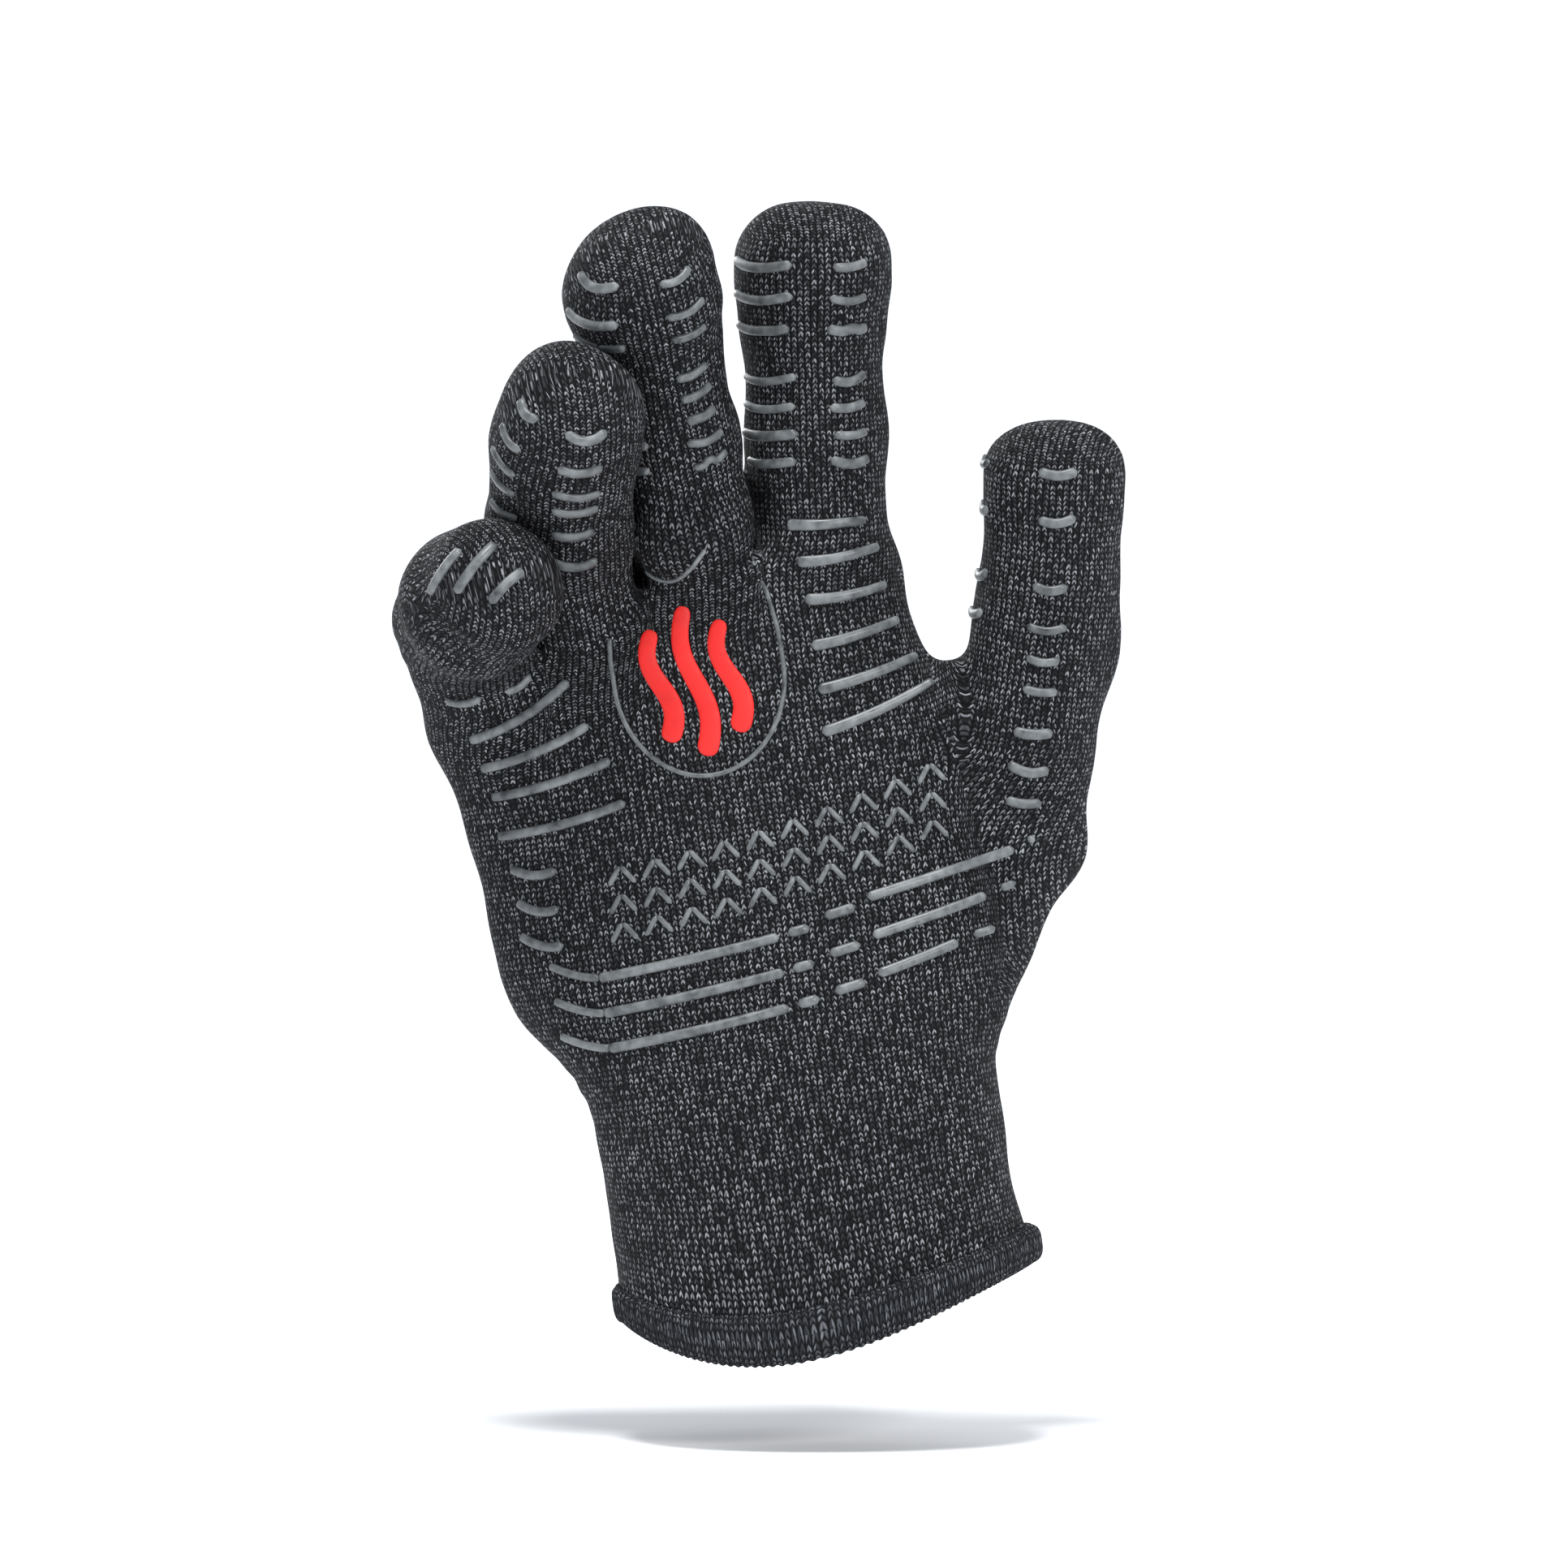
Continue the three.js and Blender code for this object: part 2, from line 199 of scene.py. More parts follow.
# ---- distance fields ----------------------------------------------------------------------------
def smooth_min(a, b, k):
    """The smaller of two fields, rounded over k where they meet."""
    h = np.maximum(k - np.abs(a - b), 0) / k
    return np.minimum(a, b) - h * h * k / 4


def smooth_step(t):
    t = np.clip(t, 0, 1)
    return t * t * (3 - 2 * t)


def smooth_max(a, b, k):
    return -smooth_min(-a, -b, k)


def softened(heights, values, reach):
    """A curve through stations, rounded over a reach, as a function of height in metres."""
    z = np.arange(heights[0] - 40, heights[-1] + 40, 1.0)
    raw = np.interp(z, heights, values)
    window = np.hanning(2 * reach + 1)
    padded = np.pad(raw, reach, mode="edge")
    smooth = np.convolve(padded, window / window.sum(), mode="valid")
    return lambda at: np.interp(at / MM, z, smooth) * MM


EDGES = list(zip(*SECTIONS))
LEFT = softened(EDGES[0], EDGES[1], 7)
RIGHT = softened(EDGES[0], EDGES[2], 7)
DEPTH = softened(EDGES[0], EDGES[3], 9)
TOP = softened([p[0] / MM for p in KNUCKLES], [p[2] / MM for p in KNUCKLES], 8)


def droop(p):
    """How far the cuff's edge hangs at points p: most at the middle of the palm side."""
    x, y, z = p[..., 0], p[..., 1], p[..., 2]
    u = np.clip(x / (CUFF_HALF * MM), -1, 1)
    out = (1 - u * u) * (1 - DROOP_LEAN * u)
    deep = np.where(y < 0, DROOP_FRONT, DROOP_BACK) * MM
    near = np.clip(1 - z / (DROOP_REACH * MM), 0, 1.1)
    return deep * out * near * near


def waves():
    """Directions, phases and strengths of the cloth's soft unevenness."""
    rng = np.random.default_rng(SEED)
    found = []
    for _ in range(WAVE_COUNT):
        way = unit(rng.normal(size=3)) * 2 * math.pi / (rng.uniform(*WAVE_LONG) * MM)
        found.append((way, rng.uniform(0, 2 * math.pi), rng.uniform(*WAVE_HIGH) * MM))
    return found


WAVES = waves()


def unevenness(p):
    total = np.zeros(p.shape[:-1], np.float32)
    for way, phase, high in WAVES:
        total += high * np.sin(p @ way + phase)
    return total


def torso(p):
    """The distance to the cuff and palm, an oval tube closed at the knuckles."""
    x, y, z = p[..., 0], p[..., 1], p[..., 2]
    left, right, depth = LEFT(z), RIGHT(z), DEPTH(z)
    a = (right - left) / 2
    u = np.abs(x - (left + right) / 2) / a + 1e-6
    v = np.abs(y) / depth + 1e-6
    n = SQUARENESS
    r = (u ** n + v ** n) ** (1 / n)
    slope = np.sqrt((u ** (n - 1) / a) ** 2 + (v ** (n - 1) / depth) ** 2) * r ** (1 - n)
    wall = (r - 1) / slope
    gather = np.exp(-((z - GATHER["at"] * MM) / (GATHER["spread"] * MM)) ** 2)
    ripple = np.sin(z * 2 * math.pi / (GATHER["pitch"] * MM) + 40 * x)
    wall = wall + GATHER["deep"] * MM * gather * ripple
    top = (z + TOP_TILT * y - TOP(x) + TOP_DROP * MM) / math.hypot(1, TOP_TILT)
    return smooth_max(wall, top, 7 * MM)


def bone(p, a, b, ra, rb):
    """The distance to a round-ended rod from a to b, whose radius goes from ra to rb."""
    way = b - a
    t = np.clip(((p - a) @ way) / (way @ way), 0, 1)
    near = a + t[..., None] * way
    eased = t * t * (3 - 2 * t)
    return np.linalg.norm(p - near, axis=-1) - (ra + (rb - ra) * eased)


def tip_bone(p, a, way, long, ra, rb, corner, tilt):
    """The last bone, a rounded cylinder whose end leans by tilt across the hand."""
    t = (p - a) @ way
    across = p - a - t[..., None] * way
    off = np.linalg.norm(across, axis=-1)
    share = np.clip(t / (long - rb), 0, 1)
    r = ra + (rb - ra) * share * share * (3 - 2 * share)
    c = corner * rb
    side = off - (r - c)
    end = t - (long - c) - tilt * across[..., 0]
    out = np.hypot(np.maximum(side, 0), np.maximum(end, 0))
    body = out + np.minimum(np.maximum(side, end), 0) - c
    return np.where(t < 0, np.hypot(off, t) - ra, body)


def digit_field(p, name):
    """The distance to one digit: its bones, its root in the palm and its bulging pad."""
    line = LINES[name]
    points, radii = line["points"], line["radii"]
    across, up = DIGITS[name]["root"]
    root = points[0] + np.array([across, 1, up]) * MM
    field = bone(p, root, points[0], radii[0] * 0.84, radii[0] * 0.98)
    for i in range(len(points) - 2):
        segment = bone(p, points[i], points[i + 1], radii[i], radii[i + 1])
        field = smooth_min(field, segment, 4 * MM)
    if name in BULGES:
        offset, radius, softness = BULGES[name]
        middle = points[0] + np.array(offset) * MM
        pad = np.linalg.norm(p - middle, axis=-1) - radius * MM
        field = smooth_min(field, pad, softness * MM)
    last = len(points) - 2
    long = line["runs"][-1] - line["runs"][-2]
    end = tip_bone(p, points[last], line["ways"][last], long, radii[last], radii[last + 1],
                   DIGITS[name]["corner"], DIGITS[name].get("tilt", 0))
    return smooth_min(field, end, 4 * MM)


def creases(p):
    """Short curved folds pressed into the cloth, seen from the palm side."""
    total = np.zeros(p.shape[:-1], np.float32)
    for (x, z), radius, first, last, deep in CREASES:
        dx, dz = p[..., 0] - x * MM, p[..., 2] - z * MM
        away = np.hypot(dx, dz) - radius * MM
        angle = np.degrees(np.arctan2(dz, dx)) % 360
        share = smooth_step((angle - first) / 18) * smooth_step((last - angle) / 18)
        total += deep * MM * share * np.exp(-(away / (1.2 * MM)) ** 2) * (p[..., 1] < -4 * MM)
    return total


def glove_field(p):
    """The signed distance to the glove's outside, in metres, at points p."""
    p = np.asarray(p)
    body = torso(p)
    palm = body
    for low, high, radius in WEBS:
        web = bone(p, np.array(low) * MM, np.array(high) * MM, radius * MM, radius * MM)
        palm = smooth_min(palm, web, 9 * MM)
    digits = {name: digit_field(p, name) for name in DIGITS}
    whole = palm
    for name in DIGITS:
        own = digits[name]
        if name in FINGERS:
            place = FINGERS.index(name)
            for other in FINGERS[max(place - 1, 0):place] + FINGERS[place + 1:place + 2]:
                apart = (own - digits[other]) / 2 + FINGER_GAP * MM
                own = smooth_max(own, apart, 2 * MM)
        joined = smooth_min(palm, own, DIGITS[name]["fuse"] * MM)
        whole = np.minimum(whole, joined)
    return whole + unevenness(p) + creases(p)


class Lattice:
    """The glove's field sampled on a grid, for meshing and for laying things on the surface."""

    def __init__(self, step):
        self.step = step
        self.low = np.array(CAD_BOX[0]) - 8 * MM
        self.low[2] = -4 * MM
        high = np.array(CAD_BOX[1]) + 8 * MM
        count = np.ceil((high - self.low) / step).astype(int) + 1
        axes = [self.low[i] + step * np.arange(count[i]) for i in range(3)]
        self.value = np.empty(count, np.float32)
        slab = 16
        for k in range(0, count[2], slab):
            block = np.stack(np.meshgrid(axes[0], axes[1], axes[2][k:k + slab], indexing="ij"), -1)
            self.value[:, :, k:k + slab] = glove_field(block)

    def at(self, p):
        q = (np.asarray(p) - self.low) / self.step
        top = np.array(self.value.shape) - 2
        i = np.clip(np.floor(q).astype(int), 0, top)
        f = np.clip(q - i, 0, 1)
        total = np.zeros(q.shape[:-1])
        for dx in (0, 1):
            for dy in (0, 1):
                for dz in (0, 1):
                    share = np.abs(1 - dx - f[..., 0]) * np.abs(1 - dy - f[..., 1])
                    share = share * np.abs(1 - dz - f[..., 2])
                    total += share * self.value[i[..., 0] + dx, i[..., 1] + dy, i[..., 2] + dz]
        return total

    def normal(self, p):
        h = self.step * 1.2
        steps = np.eye(3) * h
        p = np.asarray(p)
        g = np.stack([self.at(p + s) - self.at(p - s) for s in steps], -1)
        return g / np.linalg.norm(g, axis=-1, keepdims=True)


CORNERS = [(a, b, c) for a in (0, 1) for b in (0, 1) for c in (0, 1)]


def at_corner(array, corner):
    """The array's values at one corner of every cell."""
    return array[tuple(slice(c, c + n - 1) for c, n in zip(corner, array.shape))]


def cell_points(value, inside):
    """A point in each cell that the surface crosses, in cell sizes, and each cell's number."""
    count = sum(at_corner(inside, c).astype(np.int8) for c in CORNERS)
    active = (count > 0) & (count < 8)
    number = np.full(active.shape, -1, np.int64)
    number[active] = np.arange(active.sum())
    base = np.argwhere(active)
    total = np.zeros((len(base), 3))
    hits = np.zeros(len(base))
    for c in CORNERS:
        for axis in range(3):
            if c[axis]:
                continue
            d = list(c)
            d[axis] = 1
            va = at_corner(value, c)[active].astype(float)
            vb = at_corner(value, d)[active].astype(float)
            cross = (va < 0) != (vb < 0)
            t = np.where(cross, va / np.where(cross, va - vb, 1), 0)
            point = np.array(c, float)[None, :].repeat(len(base), 0)
            point[:, axis] += t
            total[cross] += point[cross]
            hits[cross] += 1
    return base + total / hits[:, None], number


def cell_faces(inside, number):
    """A quad facing out round each lattice edge that the surface crosses."""
    faces = []
    shape = number.shape
    for axis in range(3):
        b, c = [i for i in range(3) if i != axis]
        near, far = [slice(None)] * 3, [slice(None)] * 3
        near[axis], far[axis] = slice(0, -1), slice(1, None)
        at = np.argwhere(inside[tuple(near)] != inside[tuple(far)])
        keep = (at[:, b] > 0) & (at[:, c] > 0) & (at[:, b] < shape[b]) & (at[:, c] < shape[c])
        at = at[keep]
        flip = inside[tuple(near)][tuple(at.T)] ^ (axis == 1)
        ring = []
        for db, dc in ((0, 0), (-1, 0), (-1, -1), (0, -1)):
            spot = at.copy()
            spot[:, b] += db
            spot[:, c] += dc
            ring.append(number[tuple(spot.T)])
        quad = np.stack(ring, 1)
        quad[~flip] = quad[~flip][:, ::-1]
        faces.append(quad)
    return np.concatenate(faces)


def surface_mesh(lattice, depth):
    """Quads round the surface that lies depth below the outside, as vertices and faces."""
    value = lattice.value + depth
    inside = value < 0
    spots, number = cell_points(value, inside)
    return lattice.low + lattice.step * spots, cell_faces(inside, number)


def relaxed(verts, faces, rounds):
    """The vertices moved halfway towards their neighbours' mean, a number of times."""
    for _ in range(rounds):
        total = np.zeros_like(verts)
        hits = np.zeros(len(verts))
        for i in range(4):
            for j in (1, 3):
                np.add.at(total, faces[:, i], verts[faces[:, (i + j) % 4]])
                np.add.at(hits, faces[:, i], 1)
        verts = verts * 0.5 + 0.5 * total / np.maximum(hits, 1)[:, None]
    return verts


# ---- knitted coordinates ------------------------------------------------------------------------
def along_digit(p, name):
    """Where points p lie on a digit: the run along it from its first joint and over its tip, the
    run round it from the middle of its palm side, and whether that is on its back."""
    line = LINES[name]
    last = len(line["ways"]) - 1
    radius = np.mean(line["radii"])
    found = []
    for i, way in enumerate(line["ways"]):
        start = line["points"][i]
        long = line["runs"][i + 1] - line["runs"][i]
        t = (p - start) @ way
        clamped = np.clip(t, -0.03 if i == 0 else 0, 0.03 if i == last else long)
        far = np.linalg.norm(p - start - clamped[:, None] * way, axis=1)
        off = p - start - t[:, None] * way
        side, front = digit_sides(line, i)
        wide = np.linalg.norm(off, axis=1)
        over = np.where((i == last) & (t > long - radius), np.maximum(radius - wide, 0), 0)
        here = radius * np.arcsin(np.clip(off @ side / np.maximum(wide, radius), -1, 1))
        found.append((far, line["runs"][i] + t + over, here, off @ front))
    far = np.stack([f[0] for f in found])
    share = np.exp((far.min(0) ** 2 - far ** 2) / (6 * MM) ** 2)
    share /= share.sum(0)
    run, round_it, front = (sum(w * f[k] for w, f in zip(share, found)) for k in (1, 2, 3))
    return run, round_it, front < 0


def digit_sides(line, i):
    """Unit vectors across a digit's bone: to the right seen from its palm side, and out of that
    side."""
    way = line["ways"][i]
    side = unit(line["axis"] - way * (line["axis"] @ way))
    return side, np.cross(side, way)


def nearest_digit(p):
    """The number of the digit that each point is nearest to."""
    return np.stack([digit_field(p, name) for name in DIGITS], 1).argmin(1)


def section_run(x, y, half, depth):
    """The run round the palm's oval section from the middle of its nearer face, out to points at
    x and y from its axis."""
    n = SQUARENESS
    last = np.arctan2((np.abs(y) / depth) ** (n / 2), (np.abs(x) / half) ** (n / 2))
    run, px, py = np.zeros_like(x), np.zeros_like(x), depth
    for share in np.linspace(0, 1, 25)[1:]:
        angle = math.pi / 2 + (last - math.pi / 2) * share
        qx = half * np.maximum(np.cos(angle), 0) ** (2 / n)
        qy = depth * np.maximum(np.sin(angle), 0) ** (2 / n)
        run = run + np.hypot(qx - px, qy - py)
        px, py = qx, qy
    return run


def knit_coordinates(p):
    """Lateral and lengthwise knitted coordinates of points p, for faces seen from the palm side
    and for faces seen from the back, and how far round to the back each point is."""
    z = p[:, 2]
    left, right, depth = LEFT(z), RIGHT(z), DEPTH(z)
    middle, half = (left + right) / 2, (right - left) / 2
    x = p[:, 0] - middle
    flat = half - depth
    past = (np.abs(x) - flat) / depth
    curved = flat + depth * (np.arcsin(np.clip(past, 0, 1)) + np.maximum(past - 1, 0))
    arc = np.where(past > 0, curved, np.abs(x))
    clear = np.where(x < 0, 1, smooth_step((THUMB_FROM * MM - z) / (20 * MM)))
    clear = clear * smooth_step((np.abs(x) / half - 0.5) / 0.25)
    arc = section_run(x, p[:, 1], half, depth) * clear + arc * (1 - clear)
    across = middle + np.sign(x) * arc
    up = z.copy()
    behind = p[:, 1] > 0
    nearest = nearest_digit(p)
    for k, name in enumerate(DIGITS):
        mine = np.where(nearest == k)[0]
        if not len(mine):
            continue
        line = LINES[name]
        run, lateral, back = along_digit(p[mine], name)
        blend_run = 34 * MM if name == "thumb" else 18 * MM
        off = digit_field(p[mine], name)
        ease = smooth_step((run + 8 * MM) / blend_run) * smooth_step(1.1 - off / (9 * MM))
        lateral = line["points"][0][0] + lateral
        lengthwise = line["points"][0][2] + run
        across[mine] = across[mine] * (1 - ease) + lateral * ease
        up[mine] = up[mine] * (1 - ease) + lengthwise * ease
        behind[mine] = np.where(ease > 0.5, back, behind[mine])
    return across, up, behind


# ---- cutting the skin at the joints -------------------------------------------------------------
def cuts():
    """Where each digit is cut and where its joints bend: for each sleeve the two bodies it joins,
    the bend's start and end points, and the plane where the sleeve begins. That plane is square
    to the bend."""
    rows = []
    for name, spec in DIGITS.items():
        line = LINES[name]
        runs = line["runs"]
        parents = ["palm"] + spec["bodies"][:-1]
        for i, child in enumerate(spec["bodies"]):
            at, way = line["points"][i], line["ways"][i]
            if i:
                reach = 0.26 * min(runs[i] - runs[i - 1], runs[i + 1] - runs[i], 30 * MM)
                start, end = at - line["ways"][i - 1] * reach, at + way * reach
            elif name == "thumb":
                lean = unit(THUMB_BEND)
                start, end = at - lean * 13 * MM, at + lean * 11 * MM
            else:
                palmward = unit(way + np.array([0, 0.25, 0]))
                first, last = ROOT_BENDS[name]
                start, end = at + palmward * first * MM, at + way * last * MM
            square = unit(end - start)
            rows.append({"digit": name, "child": child, "parent": parents[i], "start": start,
                         "end": end, "way": square, "at": at, "plane": start - square * 0.2 * MM})
    return rows


CUTS = cuts()
CUT_REACH = 34 * MM  # how far from a cut's middle it splits the cloth


def region_of(centres):
    """The number of the last cut that each point lies beyond, or -1 on the cuff and palm."""
    nearest = nearest_digit(centres)
    names = list(DIGITS)
    region = np.full(len(centres), -1)
    for number, cut in enumerate(CUTS):
        mine = nearest == names.index(cut["digit"])
        past = (centres - cut["plane"]) @ cut["way"] > 0
        if cut["child"].endswith("_base"):
            close = np.linalg.norm(centres - cut["at"], axis=1) < 0.12
        else:
            close = region == number - 1
        region = np.where(mine & past & close, number, region)
    return region


def cut_surface(verts, faces, bottom):
    """The surface cut at the cuff's mouth and at each joint, as points, normals and polygons."""
    bm = bmesh.new()
    for v in verts:
        bm.verts.new(v)
    bm.verts.ensure_lookup_table()
    for f in faces:
        bm.faces.new([bm.verts[i] for i in f])
    cut_geometry(bm, Vector((0, 0, bottom)), Vector((0, 0, 1)), None, True)
    for cut in CUTS:
        cut_geometry(bm, Vector(cut["plane"]), Vector(cut["way"]), CUT_REACH, False)
    bm.normal_update()
    whole = bpy.data.meshes.new("whole")
    bm.to_mesh(whole)
    bm.free()
    found = []
    for key in ("co", "normal"):
        flat = np.empty(len(whole.vertices) * 3)
        whole.vertices.foreach_get(key, flat)
        found.append(flat.reshape(-1, 3))
    polygons = [tuple(p.vertices) for p in whole.polygons]
    bpy.data.meshes.remove(whole)
    return found[0], found[1], polygons


def skin_pieces(lattice, depth, suffix, material, bottom, rounds):
    """The knitted surface at a depth, cut into one piece per joint. Returns the pieces by body."""
    verts, faces = surface_mesh(lattice, depth)
    points, normals, polygons = cut_surface(relaxed(verts, faces, rounds), faces, bottom)
    across, up, behind = knit_coordinates(points)
    points[:, 2] -= droop(points)
    centres = np.array([points[list(p)].mean(0) for p in polygons])
    region = region_of(centres)
    back = np.array([behind[list(p)].mean() > 0.5 for p in polygons])
    made = {}
    for number in range(-1, len(CUTS)):
        label = CUTS[number]["child"] if number >= 0 else "body"
        chosen = np.where(region == number)[0]
        piece = part_mesh(f"{label}_{suffix}", points, normals, polygons, chosen, across, up, back)
        piece.data.materials.append(material)
        made[label] = piece
        if number >= 0:
            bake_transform(piece)
        else:
            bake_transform(piece)
    return made


def cut_geometry(bm, at, way, reach, clear):
    """Splits the faces within reach of a plane along it, and clears what is below if asked."""
    if reach is None:
        verts = set(bm.verts)
    else:
        verts = {v for v in bm.verts if (v.co - at).length < reach}
    faces = [f for f in bm.faces if all(v in verts for v in f.verts)]
    edges = {e for f in faces for e in f.edges}
    used = {v for f in faces for v in f.verts}
    bmesh.ops.bisect_plane(bm, geom=list(used) + list(edges) + faces, plane_co=at, plane_no=way,
                           dist=1e-6, clear_inner=clear)


def part_mesh(name, points, normals, polygons, chosen, across, up, back):
    """One piece of the skin, from the chosen polygons, with its knitted coordinates."""
    used = sorted({i for k in chosen for i in polygons[k]})
    new = {old: i for i, old in enumerate(used)}
    mesh = bpy.data.meshes.new(name)
    mesh.from_pydata(points[used].tolist(), [], [[new[i] for i in polygons[k]] for k in chosen])
    mesh.polygons.foreach_set("use_smooth", [True] * len(mesh.polygons))
    layer = mesh.uv_layers.new(name="knit")
    uv = []
    for k in chosen:
        side = -1 if back[k] else 1
        for i in polygons[k]:
            uv += [side * across[i], up[i]]
    layer.data.foreach_set("uv", uv)
    mesh.normals_split_custom_set_from_vertices(normals[used].tolist())
    return add_object(name, mesh)


# ---- materials ----------------------------------------------------------------------------------
class Nodes:
    """A short way to build a material's node tree."""

    def __init__(self, name):
        self.material = bpy.data.materials.new(name)
        self.material.use_nodes = True
        self.tree = self.material.node_tree
        self.tree.nodes.clear()
        self.shader = self.tree.nodes.new("ShaderNodeBsdfPrincipled")
        out = self.tree.nodes.new("ShaderNodeOutputMaterial")
        self.tree.links.new(self.shader.outputs[0], out.inputs[0])

    def node(self, kind, inputs=(), **settings):
        node = self.tree.nodes.new(kind)
        for key, value in settings.items():
            setattr(node, key, value)
        for slot, value in dict(inputs).items():
            self.put(node.inputs[slot], value)
        return node

    def put(self, socket, value):
        if isinstance(value, bpy.types.NodeSocket):
            self.tree.links.new(value, socket)
        else:
            socket.default_value = value

    def math(self, operation, *values):
        return self.node("ShaderNodeMath", enumerate(values), operation=operation).outputs[0]

    def times(self, a, b):
        return self.math("MULTIPLY", a, b)

    def plus(self, a, b):
        return self.math("ADD", a, b)

    def minus(self, a, b):
        return self.math("SUBTRACT", a, b)

    def mix(self, share, a, b):
        node = self.node("ShaderNodeMix", data_type="RGBA")
        self.put(node.inputs[0], share)
        self.put(node.inputs[6], a)
        self.put(node.inputs[7], b)
        return node.outputs[2]


def knit_material(name, groove_shade, yarn, fleck, wale, course, high):
    """Plain knit: columns of slanted stitches, each a different shade of a flecked yarn. Painted shade
    darkens the grooves between strands, and the yarn's flecks show only on the strand tops as a painted
    highlight.
    """
    n = Nodes(name)
    uv = n.node("ShaderNodeUVMap", uv_map="knit").outputs[0]
    parts = n.node("ShaderNodeSeparateXYZ", {0: uv})
    wobble = n.node("ShaderNodeTexNoise", {"Vector": uv, "Scale": 330.0, "Detail": 3.0})
    drift = n.times(n.minus(wobble.outputs[0], 0.5), 0.9)
    u = n.plus(n.math("DIVIDE", parts.outputs[0], wale), n.times(drift, 0.6))
    v = n.plus(n.math("DIVIDE", parts.outputs[1], course), n.times(drift, 1.6))
    inside = n.math("ABSOLUTE", n.minus(n.math("FRACT", u), 0.5))
    across = n.times(inside, 2.0)
    slanted = n.plus(v, n.times(across, 0.7))
    row = n.minus(n.times(n.math("FRACT", slanted), 2.0), 1.0)
    strand = n.minus(1.0, n.math("POWER", n.math("ABSOLUTE", row), 2.0))
    gutter = n.minus(1.0, n.math("POWER", across, 2.6))
    leg = n.plus(n.times(n.math("SINE", n.times(across, math.pi)), 0.35), 0.65)
    height = n.times(n.times(strand, leg), gutter)
    cell = n.node("ShaderNodeCombineXYZ", {0: n.math("FLOOR", n.times(u, 2.0)),
                                           1: n.math("FLOOR", slanted)})
    speck = n.node("ShaderNodeTexWhiteNoise", {0: cell.outputs[0]}, noise_dimensions="3D")
    fine = n.node("ShaderNodeTexNoise", {"Vector": uv, "Scale": 1500.0, "Detail": 3.0})
    patch = n.node("ShaderNodeTexNoise", {"Vector": uv, "Scale": 45.0, "Detail": 3.0})
    bright = n.math("POWER", speck.outputs[0], 1.9)
    bright = n.times(bright, n.plus(n.times(fine.outputs[0], 2.2), -0.2))
    bright = n.times(bright, n.plus(n.times(patch.outputs[0], 1.2), 0.4))
    # painted shade: the colour runs from the groove shade in the gutters to the yarn on the strands
    body = n.node("ShaderNodeMapRange", {0: height, 1: 0.12, 2: 0.6})
    # painted highlight: the yarn's random flecks are shown only on the strand tops
    lit_tops = n.node("ShaderNodeMapRange", {0: height, 1: 0.4, 2: 0.9})
    base = n.mix(body.outputs[0], groove_shade, yarn)
    share = n.node("ShaderNodeClamp", {0: n.times(lit_tops.outputs[0], bright)})
    colour = n.mix(share.outputs[0], base, fleck)
    fuzz = n.plus(height, n.times(fine.outputs[0], 0.4))
    bump = n.node("ShaderNodeBump", {"Height": fuzz, "Distance": high, "Strength": 1.0})
    n.put(n.shader.inputs["Base Color"], colour)
    n.put(n.shader.inputs["Normal"], bump.outputs[0])
    n.shader.inputs["Roughness"].default_value = 0.85
    n.shader.inputs["Specular IOR Level"].default_value = 0.2
    return n.material


def silicone_material(name, low, high, rough):
    """Moulded silicone with a soft sheen, slightly uneven in shade where it was printed."""
    n = Nodes(name)
    where = n.node("ShaderNodeTexCoord").outputs["Object"]
    streak = n.node("ShaderNodeTexNoise", {"Vector": where, "Scale": 420.0, "Detail": 4.0})
    patch = n.node("ShaderNodeTexNoise", {"Vector": where, "Scale": 90.0, "Detail": 2.0})
    blend = n.plus(n.times(streak.outputs[0], 0.7),
                   n.times(patch.outputs[0], 0.5))
    share = n.node("ShaderNodeMapRange", {0: blend, 1: 0.38, 2: 0.82})
    n.put(n.shader.inputs["Base Color"], n.mix(share.outputs[0], low, high))
    rough_range = n.node("ShaderNodeMapRange", {0: streak.outputs[0], 1: 0.3, 2: 0.7,
                                                3: rough - 0.08, 4: rough + 0.1})
    n.put(n.shader.inputs["Roughness"], rough_range.outputs[0])
    bump = n.node("ShaderNodeBump", {"Height": streak.outputs[0], "Distance": 0.12 * MM,
                                     "Strength": 0.6})
    n.put(n.shader.inputs["Normal"], bump.outputs[0])
    return n.material


# ---- raised silicone ----------------------------------------------------------------------------
def on_front(lattice, x, z):
    """The point on the glove's palm side at x and z, found from in front."""
    x, z = np.asarray(x, float), np.asarray(z, float)
    y = np.full(x.shape, CAD_BOX[0][1] - 6 * MM)
    for _ in range(60):
        away = lattice.at(np.stack([x, y, z], -1))
        y = y + np.maximum(away, 0) * 0.8
    return np.stack([x, y, z], -1)


REACHES = np.arange(7, 27, 0.4) * MM  # how far out from a digit's middle its surface is sought


def on_digit(lattice, name, run, angle):
    """The points on a digit's own surface, the first met going out from its middle, at runs from
    its first joint and angles from its palm side."""
    line = LINES[name]
    found = []
    for s, turned in zip(run, angle):
        i = int(np.clip(np.searchsorted(line["runs"], s) - 1, 0, len(line["ways"]) - 1))
        way = line["ways"][i]
        side, front = digit_sides(line, i)
        out = side * math.sin(turned) + front * math.cos(turned)
        centre = line["points"][i] + way * (s - line["runs"][i])
        away = lattice.at(centre + out * REACHES[:, None])
        k = max(int(np.argmax(away >= 0)), 1) if away.max() > 0 else len(REACHES) // 2
        step = REACHES[k] - REACHES[k - 1]
        share = np.clip(away[k - 1] / (away[k - 1] - away[k] + 1e-9), 0, 1)
        found.append(centre + out * (REACHES[k - 1] + share * step))
    return np.array(found)


